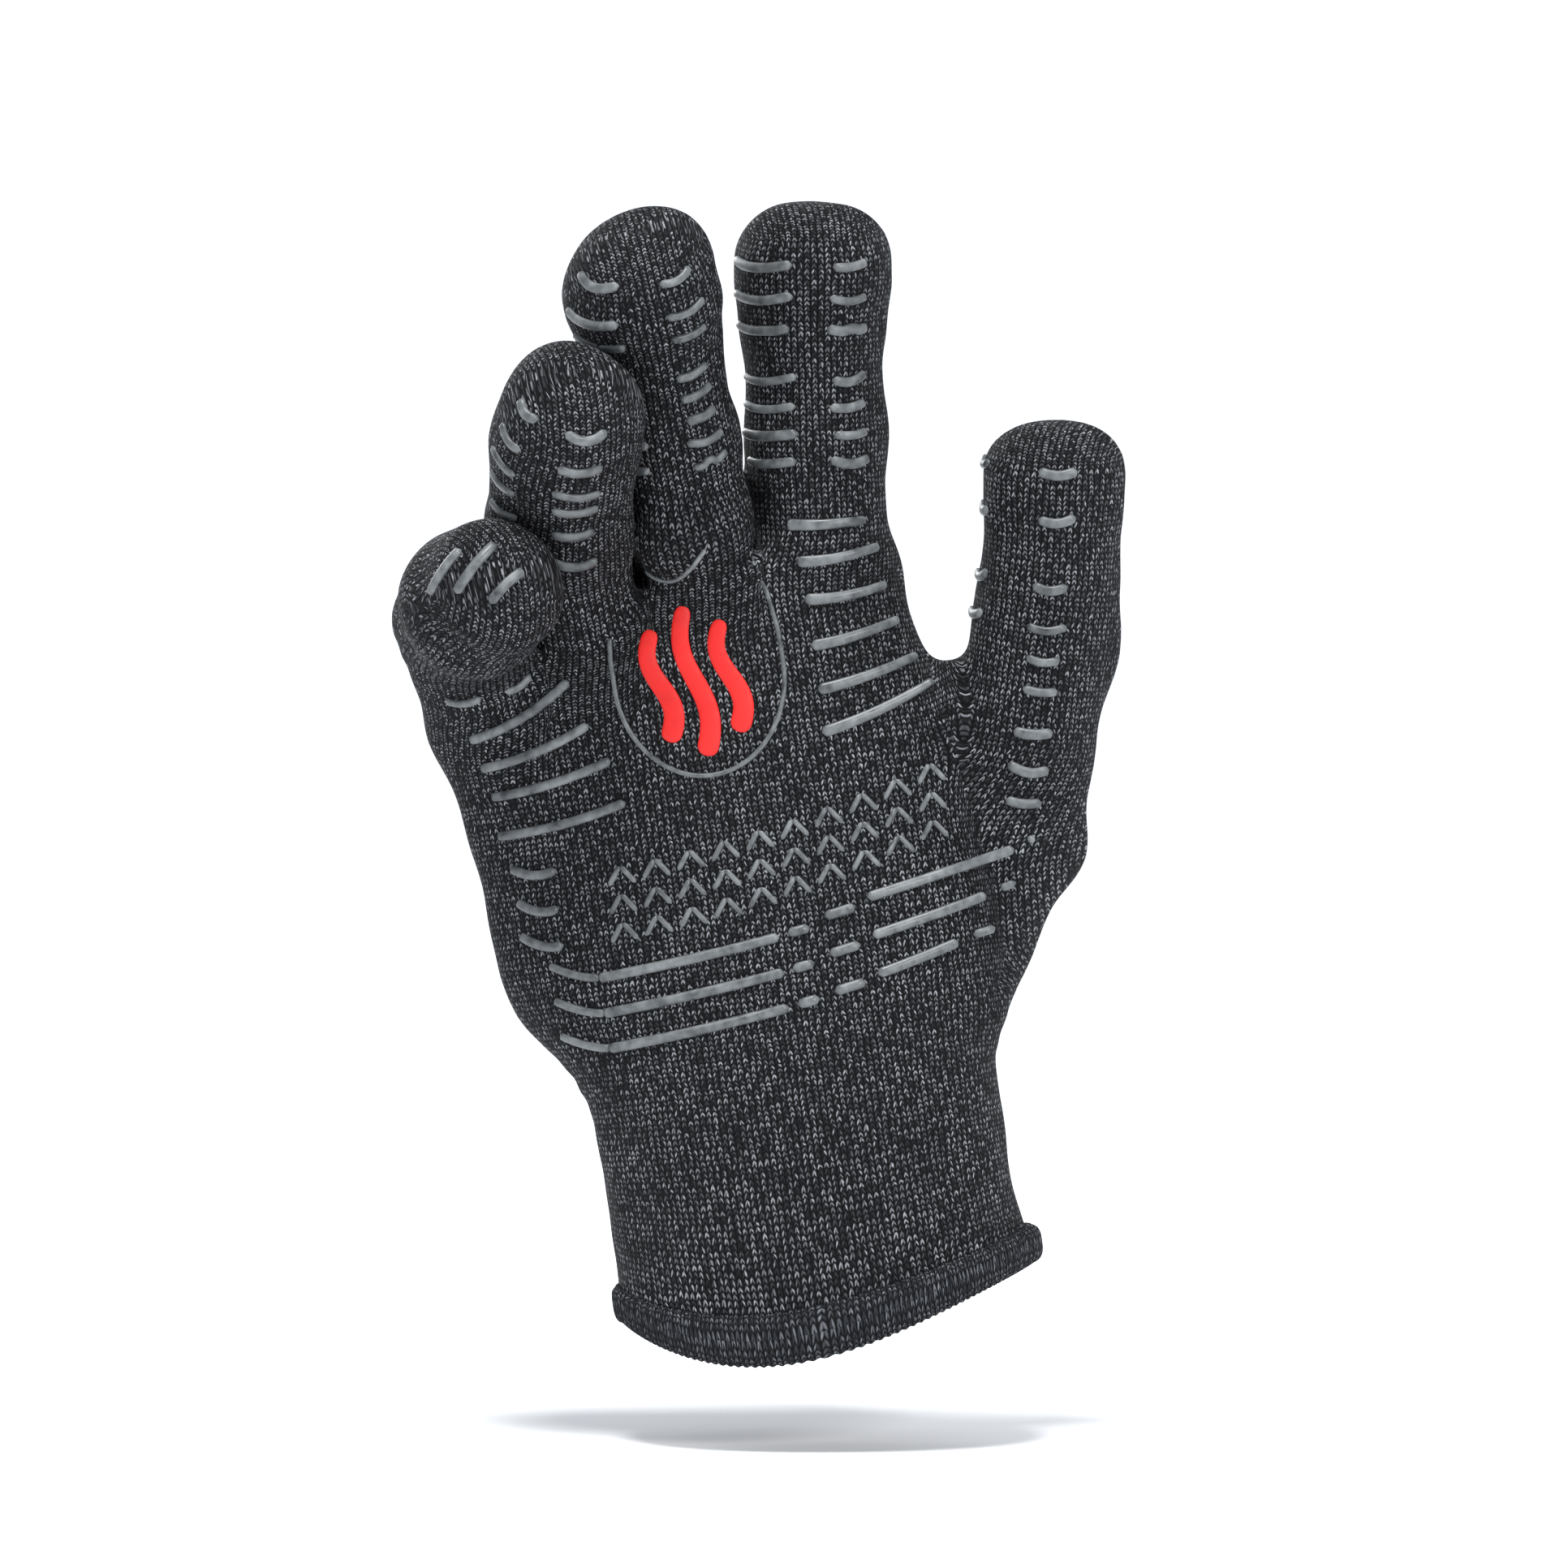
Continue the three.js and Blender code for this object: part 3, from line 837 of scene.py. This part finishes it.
class Relief:
    """Raised strokes on the surface, gathered into one mesh."""

    def __init__(self, lattice):
        self.lattice = lattice
        self.verts = []
        self.faces = []

    def stroke(self, path, width, height, taper=0.0):
        """A bar with round ends along points on the surface."""
        path = np.asarray(path)
        steps = np.linalg.norm(np.diff(path, axis=0), axis=1)
        run = np.concatenate([[0], np.cumsum(steps)])
        count = max(6, int(run[-1] / (0.9 * MM)))
        ends = np.linspace(0, 1, count)
        ends = run[-1] * (0.5 - 0.5 * np.cos(math.pi * ends)) * 0.35 + run[-1] * ends * 0.65
        path = np.stack([np.interp(ends, run, path[:, i]) for i in range(3)], 1)
        normal = self.lattice.normal(path)
        along = np.gradient(path, axis=0)
        along /= np.linalg.norm(along, axis=1, keepdims=True)
        side = np.cross(normal, along)
        side /= np.linalg.norm(side, axis=1, keepdims=True)
        half = width / 2
        near = np.minimum(ends, run[-1] - ends)
        share = np.sqrt(np.clip(1 - (1 - np.clip(near / half, 0, 1)) ** 2, 0.02, 1))
        share = share * (1 - taper * ends / run[-1])
        first = len(self.verts)
        arc = 8
        for p, nrm, sd, s in zip(path, normal, side, share):
            for k in range(arc + 1):
                a = math.pi * k / arc
                across = math.cos(a) * half * s
                rise = (math.sin(a) ** 0.6) * height * min(1, s * 1.2)
                self.verts.append(p + sd * across + nrm * (rise - 0.25 * MM))
        row = arc + 1
        for i in range(len(path) - 1):
            for k in range(arc):
                a = first + i * row + k
                self.faces.append((a, a + 1, a + row + 1, a + row))
            a = first + i * row
            self.faces.append((a + arc, a, a + row, a + row + arc))
        self.faces.append(tuple(first + k for k in reversed(range(row))))
        last = first + (len(path) - 1) * row
        self.faces.append(tuple(last + k for k in range(row)))

    def piece(self, name, material):
        mesh = bpy.data.meshes.new(name)
        mesh.from_pydata([tuple(v) for v in self.verts], [], self.faces)
        mesh.validate()
        bm = bmesh.new()
        bm.from_mesh(mesh)
        bmesh.ops.recalc_face_normals(bm, faces=bm.faces)
        bm.to_mesh(mesh)
        bm.free()
        return smooth_object(name, mesh, material)


def bowed(a, b, bow, count=9):
    """Points from a to b, bowed downwards in the middle, in mm."""
    t = np.linspace(0, 1, count)
    x = a[0] + (b[0] - a[0]) * t
    z = a[1] + (b[1] - a[1]) * t - bow * 4 * t * (1 - t)
    return x * MM, z * MM


BAR = 2.5 * MM  # a bar's width
BAR_HIGH = 1.2 * MM

# Bars on the palm, as (start, end, bow) in mm across and up the hand
INDEX_BARS = [((17.5, 180), (36, 178.5), 0.6), ((18.5, 171), (38, 172), 1), ((19, 162), (38.5, 163), 1),
              ((19, 151), (40, 154.5), 0.8), ((19, 140.6), (43, 145.5), 0.8),
              ((18.6, 130.6), (46, 139), 1)]
ULNAR_BARS = [((-64, 141), (-38.5, 151.4), 2), ((-62.5, 134), (-35.3, 140.5), 1.4),
              ((-61, 127), (-31.4, 131.5), 1.2), ((-61, 117.7), (-29.3, 121.2), 1.2),
              ((-59, 110), (-48, 108), 1.6), ((-58.6, 101.9), (-48.6, 99), 1.6),
              ((-59, 94), (-48.7, 90.3), 1.4)]
HEEL_ROWS = 3
HEEL_PITCH = 8.3  # mm up from one row to the next


def palm_bars(lattice):
    """The long bars beside the badge and the three broken rows on the heel."""
    relief = Relief(lattice)

    def lay(bar, width=BAR, taper=0.0):
        x, z = bowed(*bar)
        relief.stroke(on_front(lattice, x, z), width, BAR_HIGH, taper)

    for bar in INDEX_BARS:
        lay(bar, BAR * 1.15, 0.25)
    for bar in ULNAR_BARS:
        lay(bar, BAR * 0.95, 0.0)
    for row in range(HEEL_ROWS):
        up = row * HEEL_PITCH
        lay(((-53, 69.5 + up), (-41, 64.8 + up), 0.8), BAR * 0.8)
        lay(((-41.5, 64.8 + up), (2, 68.3 + up), 0.4), BAR)
        lay(((4, 68.7 + up), (9.4, 69.4 + up), 0), BAR)
        lay(((13, 70.4 + up * 1.06), (20.5, 71.6 + up * 1.06), 0), BAR)
        right = (23.5, 73 + up * 1.08)
        lay((right, (43 + 8 * row, 77.5 + up * 1.18), 0.2), BAR)
        lay(((46.5 + 8 * row, 78.5 + up * 1.18), (52 + 6 * row, 79.4 + up * 1.2), 0), BAR * 0.85)
    return relief


# Bars on the digits, in groups: first and last run from the knuckle in mm and how many, then the
# angles from the middle of the palm side that the left and right columns span, in degrees
DIGIT_BARS = {
    "index": ([(26, 46, 4), (58, 73, 3)], (-84, -22), (6, 38)),
    "middle": ([(37, 60, 5), (73, 79.5, 2), (88, 88, 1)], (-72, -22), (12, 44)),
    "ring": ([(38, 56, 3), (63, 80, 3)], (-84, -54), (-22, 16)),
    "little": ([(15, 15, 1)], (-40, -4), (14, 40)),
    "thumb": ([(10.5, 27, 3), (37, 52, 3), (61.5, 61.5, 1), (78, 89, 2)], (-88, -56), (-2, 30)),
}
THUMB_LEFT_FROM = 50  # the thumb's left column starts above its web


def finger_bars(lattice, name):
    """Two columns of short bars up a finger's palm side, as strokes by body."""
    groups, *columns = DIGIT_BARS[name]
    rng = np.random.default_rng(SEED + len(name))
    found = {body: Relief(lattice) for body in DIGITS[name]["bodies"]}
    for first, last, count in groups:
        for run in np.linspace(first, last, count):
            for low, high in columns:
                if name == "thumb" and high < 0 and run < THUMB_LEFT_FROM:
                    continue
                ends = np.radians([low + rng.uniform(-2, 2), high + rng.uniform(-3, 3)])
                angles = np.linspace(*ends, 9)
                sag = rng.uniform(0.4, 1.5) * np.sin(np.linspace(0, math.pi, 9))
                tilt = rng.uniform(-0.4, 1.2) * np.linspace(-0.5, 0.5, 9)
                path = on_digit(lattice, name, (run - sag + tilt) * MM, angles)
                wide = BAR * rng.uniform(0.8, 1.05)
                found[body_at(name, run * MM)].stroke(path, wide, BAR_HIGH)
    return found


# Three slanting bars on top of the curled little finger, in mm across and up the hand
LITTLE_BARS = [((-64, 175), (-55, 184)), ((-57.5, 174), (-47, 184)), ((-50, 170.5), (-41.5, 177))]


def little_top_bars(lattice):
    """The slanting bars on the little finger's curled top."""
    relief = Relief(lattice)
    for start, end in LITTLE_BARS:
        x, z = bowed(start, end, -0.6)
        relief.stroke(on_front(lattice, x, z), BAR, BAR_HIGH)
    return relief


def body_at(name, run):
    """The sleeve that a point at a run along a digit belongs to."""
    line = LINES[name]
    owner = DIGITS[name]["bodies"][0]
    for i, body in enumerate(DIGITS[name]["bodies"][1:], 1):
        cut = next(c for c in CUTS if c["child"] == body)
        if run > line["runs"][i] - np.linalg.norm(cut["at"] - cut["plane"]):
            owner = body
    return owner


BADGE_CENTRE = (-8, 148)
BADGE_HALF = 20  # half the badge's width
BADGE_DEEP = 23.5  # how far its half round reaches below the centre
BORDER = 1.2 * MM
BORDER_HIGH = 0.8 * MM
# The red waves: how far apart, their sway, heights, width and thickness
HEAT = {"pitch": 8.2, "sway": 2.2, "tall": (27, 36, 27), "wide": 5.4, "high": 0.7}
CHEVRONS = 10
CHEVRON_LIFTS = (0, 6.6, 13.2)
CHEVRON_HALF = 3.3
CHEVRON_TALL = 4.6
CHEVRON_LEAN = 1.2 / 13  # sideways for each mm up


def badge_outline(lattice):
    """A plain border: a half round below, and a top that dips over the finger's fold. Returns the
    half round and the top."""
    relief, dip = Relief(lattice), Relief(lattice)
    middle, low = BADGE_CENTRE
    t = np.linspace(0, math.pi, 33)
    round_x, round_z = middle + BADGE_HALF * np.cos(t), low - BADGE_DEEP * np.sin(t)
    x = np.array([8.2, 10.6, 11.9, *round_x, middle - BADGE_HALF, middle - BADGE_HALF + 0.6])
    z = np.array([173, 165, 156, *round_z, low + 7, low + 12])
    relief.stroke(on_front(lattice, x * MM, z * MM), BORDER, BORDER_HIGH)
    t = np.linspace(0, 1, 15)
    x = middle - 9 + 15.5 * t
    z = low + 26.5 - 3.8 * np.sin(math.pi * t ** 0.8) + 2.4 * t ** 3
    dip.stroke(on_front(lattice, x * MM, z * MM), BORDER, BORDER_HIGH)
    return relief, dip


def badge_heat(lattice):
    """Three upright waves, the common sign for heat, as one relief each."""
    found = []
    t = np.linspace(0, 1, 40)
    for w, tall in enumerate(HEAT["tall"]):
        relief = Relief(lattice)
        x = BADGE_CENTRE[0] - 1 + (w - 1) * HEAT["pitch"] + HEAT["sway"] * np.sin(2 * math.pi * t)
        z = BADGE_CENTRE[1] - 1 + tall * (t - 0.5)
        path = on_front(lattice, x * MM, z * MM)
        relief.stroke(path, HEAT["wide"] * MM, HEAT["high"] * MM, taper=0.25)
        found.append(relief)
    return found


def tread(lattice):
    """Three rows of chevrons across the palm, for grip."""
    relief = Relief(lattice)
    for t in np.linspace(0, 1, CHEVRONS):
        x = -34 + 75 * t
        low = 89 + 3.5 * t + 9.5 * t * t
        for lift in CHEVRON_LIFTS:
            top = x + CHEVRON_LEAN * lift
            for side in (-1, 1):
                px = np.linspace(top, top + side * CHEVRON_HALF, 7)
                pz = np.linspace(low + lift + CHEVRON_TALL, low + lift, 7)
                relief.stroke(on_front(lattice, px * MM, pz * MM), 1.35 * MM, 0.75 * MM)
    return relief


# ---- the hem ------------------------------------------------------------------------------------
# Stitches round the hem, points per stitch and round the roll, and its sizes in mm
HEM = {"stitches": 150, "steps": 6, "section": 28, "thick": 1.7, "thread": 0.14, "pinch": 0.5}


def signed_power(value, power):
    return math.copysign(abs(value) ** power, value)


def hem_spot(i, k, tall):
    """A point of the hem: the i-th place round the cuff and the k-th round the roll."""
    a = 2 * math.pi * i / (HEM["stitches"] * HEM["steps"])
    b = 2 * math.pi * k / HEM["section"]
    c, s = math.cos(a), math.sin(a)
    half, deep, n = (RIGHT(tall) - LEFT(tall)) / 2, DEPTH(tall), SQUARENESS
    x = (LEFT(tall) + RIGHT(tall)) / 2 + half * signed_power(c, 2 / n)
    y = deep * signed_power(s, 2 / n)
    out = unit([signed_power(c, 2 - 2 / n) / half, signed_power(s, 2 - 2 / n) / deep, 0])
    flare = 1 + 0.5 * max(c, 0) ** 3 + 0.12 * math.sin(3 * a + 0.6)
    rise, swell = signed_power(math.sin(b), 0.75), signed_power(math.cos(b), 0.75)
    pinch = HEM["pinch"] * MM * math.exp(-((b - 1.1) / 0.25) ** 2)
    thread = HEM["thread"] * MM * math.sin(2 * math.pi * i / HEM["steps"] + 1.2 * rise)
    wide = swell * (HEM["thick"] * MM * flare + thread) + 0.9 * MM * (flare - 1) - pinch
    spot = np.array([x, y, tall + rise * (tall + thread)]) + out * wide
    spot[2] -= droop(spot)
    return tuple(spot)


def hem(material):
    """The knitted edge band: a flat roll round the cuff's mouth, stitched along its top."""
    around, section = HEM["stitches"] * HEM["steps"], HEM["section"]
    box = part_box("hem_band")
    tall = (box[1][2] - box[0][2]) / 2 + 0.4 * MM
    verts = [hem_spot(i, k, tall) for i in range(around) for k in range(section)]
    faces, uv = [], []
    for i in range(around):
        for k in range(section):
            j, m = (i + 1) % around, (k + 1) % section
            faces.append((i * section + k, j * section + k, j * section + m, i * section + m))
            u0, v0 = i / HEM["steps"] * 2 * MM, k * 0.7 * MM
            u1, v1 = (i + 1) / HEM["steps"] * 2 * MM, (k + 1) * 0.7 * MM
            uv += [u0, v0, u1, v0, u1, v1, u0, v1]
    mesh = bpy.data.meshes.new("hem_roll")
    mesh.from_pydata(verts, [], faces)
    mesh.uv_layers.new(name="knit").data.foreach_set("uv", uv)
    mesh.update()
    return smooth_object("hem_roll", mesh, material)


# ---- stage --------------------------------------------------------------------------------------
# The camera's lean, its distance and the width it sees at the glove, and the floor's depth, in m
ROLL = math.radians(8.5)
DISTANCE = 1.6
FRAME_WIDE = 0.367
FLOOR_BELOW = 0.036
SENSOR = 36  # mm
AIM = np.array([0.008, -0.018, 0.120])
SEEN_FROM = np.array([0.098, -DISTANCE, 0.115])


def camera():
    data = bpy.data.cameras.new("camera")
    view = add_object("camera", data)
    look = unit(AIM - SEEN_FROM)
    up = np.array([math.sin(ROLL), 0, math.cos(ROLL)])
    right = unit(np.cross(look, up))
    up = np.cross(right, look)
    place = Matrix.Identity(4)
    for i in range(3):
        place[i][0], place[i][1], place[i][2] = right[i], up[i], -look[i]
        place[i][3] = SEEN_FROM[i]
    view.matrix_world = place
    data.sensor_width = SENSOR
    data.lens = SENSOR * np.linalg.norm(AIM - SEEN_FROM) / FRAME_WIDE
    data.clip_end = 20
    bpy.context.scene.camera = view


def area_light(name, at, size, power):
    data = bpy.data.lights.new(name, "AREA")
    data.shape = "DISK"
    data.size = size
    data.energy = power
    lamp = add_object(name, data)
    lamp.location = at
    lamp.rotation_euler = (Vector(tuple(AIM)) - Vector(at)).to_track_quat("-Z", "Y").to_euler()


def pale_floor():
    up = Vector((math.sin(ROLL), 0, math.cos(ROLL)))
    mesh = bpy.data.meshes.new("floor")
    size = 6
    mesh.from_pydata([(-size, -size, 0), (size, -size, 0), (size, size, 0), (-size, size, 0)], [],
                     [(0, 1, 2, 3)])
    floor = add_object("floor", mesh)
    floor.rotation_euler = up.to_track_quat("Z", "Y").to_euler()
    floor.location = up * -FLOOR_BELOW
    n = Nodes("pale_floor")
    n.shader.inputs["Base Color"].default_value = (0.9, 0.91, 0.93, 1)
    n.shader.inputs["Roughness"].default_value = 0.95
    n.shader.inputs["Specular IOR Level"].default_value = 0.1
    mesh.materials.append(n.material)


def studio_world():
    """A pale world that lights the glove less than it shows behind it."""
    world = bpy.data.worlds.new("studio")
    bpy.context.scene.world = world
    world.use_nodes = True
    tree = world.node_tree
    tree.nodes["Background"].inputs[0].default_value = (0.92, 0.95, 1, 1)
    seen = tree.nodes.new("ShaderNodeLightPath")
    strength = tree.nodes.new("ShaderNodeMapRange")
    strength.inputs[3].default_value = 0.55
    strength.inputs[4].default_value = 1.15
    tree.links.new(seen.outputs["Is Camera Ray"], strength.inputs[0])
    tree.links.new(strength.outputs[0], tree.nodes["Background"].inputs[1])
    bpy.context.scene.view_settings.view_transform = "Standard"


def stage():
    """The floor, the world, a wide sun from above and two area lights."""
    pale_floor()
    studio_world()
    sun = bpy.data.lights.new("sun", "SUN")
    sun.energy = 2.9
    sun.angle = math.radians(14)
    lamp = add_object("sun", sun)
    lamp.rotation_euler = Vector((0.1, -0.36, 1.0)).to_track_quat("Z", "Y").to_euler()
    area_light("key", (0.8, -1.1, 0.6), 0.35, 9)
    area_light("rim", (-0.5, 0.9, 0.7), 0.6, 6)


def over_fold(piece):
    """The piece keeps the place where it was laid, baked into its mesh."""
    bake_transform(piece)


camera()
stage()

# The first colour of each knit is painted shade in the grooves between stitches, and its flecks show
# only on the stitch tops as a painted highlight
shell = knit_material("shell_knit_look", (0.0008, 0.0008, 0.001, 1), (0.009, 0.0095, 0.0115, 1),
                      (0.4, 0.415, 0.44, 1), WALE, COURSE, 0.6 * MM)
cotton = knit_material("liner_look", (0.012, 0.012, 0.013, 1), (0.05, 0.05, 0.052, 1),
                       (0.12, 0.12, 0.12, 1), WALE * 0.8, COURSE * 0.8, 0.3 * MM)
edge = knit_material("hem_look", (0.0015, 0.0015, 0.002, 1), (0.018, 0.02, 0.024, 1),
                     (0.22, 0.23, 0.25, 1), WALE * 0.8, COURSE * 0.9, 0.4 * MM)
grey = silicone_material("grey_silicone_look", (0.03, 0.034, 0.037, 1), (0.2, 0.215, 0.22, 1), 0.38)
red = silicone_material("red_silicone_look", (0.66, 0.006, 0.004, 1), (0.8, 0.012, 0.008, 1), 0.6)

field = Lattice((1.25) * MM)
skins = skin_pieces(field, 0, "skin", shell, 3 * MM, 3)
coarse = Lattice(2.6 * MM)
linings = skin_pieces(coarse, LINER_DEPTH, "lining", cotton, 2.5 * MM, 2)

for kind, made, slot in (("shell", skins, "shell_knit"), ("liner", linings, "liner_cotton")):
    for label, piece in made.items():
        if label == "body":
            names = [f"cuff_{kind}", f"palm_{kind}"] + (["wrist_fold"] if kind == "shell" else [])
        else:
            names = [f"{label}_{kind}"] + ([f"{label}_fold"] if kind == "shell" else [])
        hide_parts(*names)

roll = hem(edge)
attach(roll, "cuff")
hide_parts("hem_band")

heel_nodes = [n for n in frame["nodes"] if n.startswith("heel_grip")]
bars = palm_bars(field).piece("palm_bars", grey)
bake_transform(bars)
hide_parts(*heel_nodes)
chevrons = tread(field).piece("palm_tread", grey)
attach(chevrons, "palm")
outline, dip = badge_outline(field)
border = outline.piece("badge_outline", grey)
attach(border, "palm")
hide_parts("badge_border")
border_top = dip.piece("badge_outline_top", grey)
over_fold(border_top)
waves_found = sorted(n for n in frame["nodes"] if n.startswith("badge_wave"))
for node, relief, child in zip(waves_found, badge_heat(field), ["ring_base", "middle_base",
                                                                "middle_base"]):
    heat = relief.piece(node + "_relief", red)
    over_fold(heat)
    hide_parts(node)

for name in DIGITS:
    for body, relief in finger_bars(field, name).items():
        if not relief.faces:
            continue
        piece = relief.piece(f"{body}_bars", grey)
        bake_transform(piece)

top_bars = little_top_bars(field).piece("little_top_bars", grey)
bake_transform(top_bars)
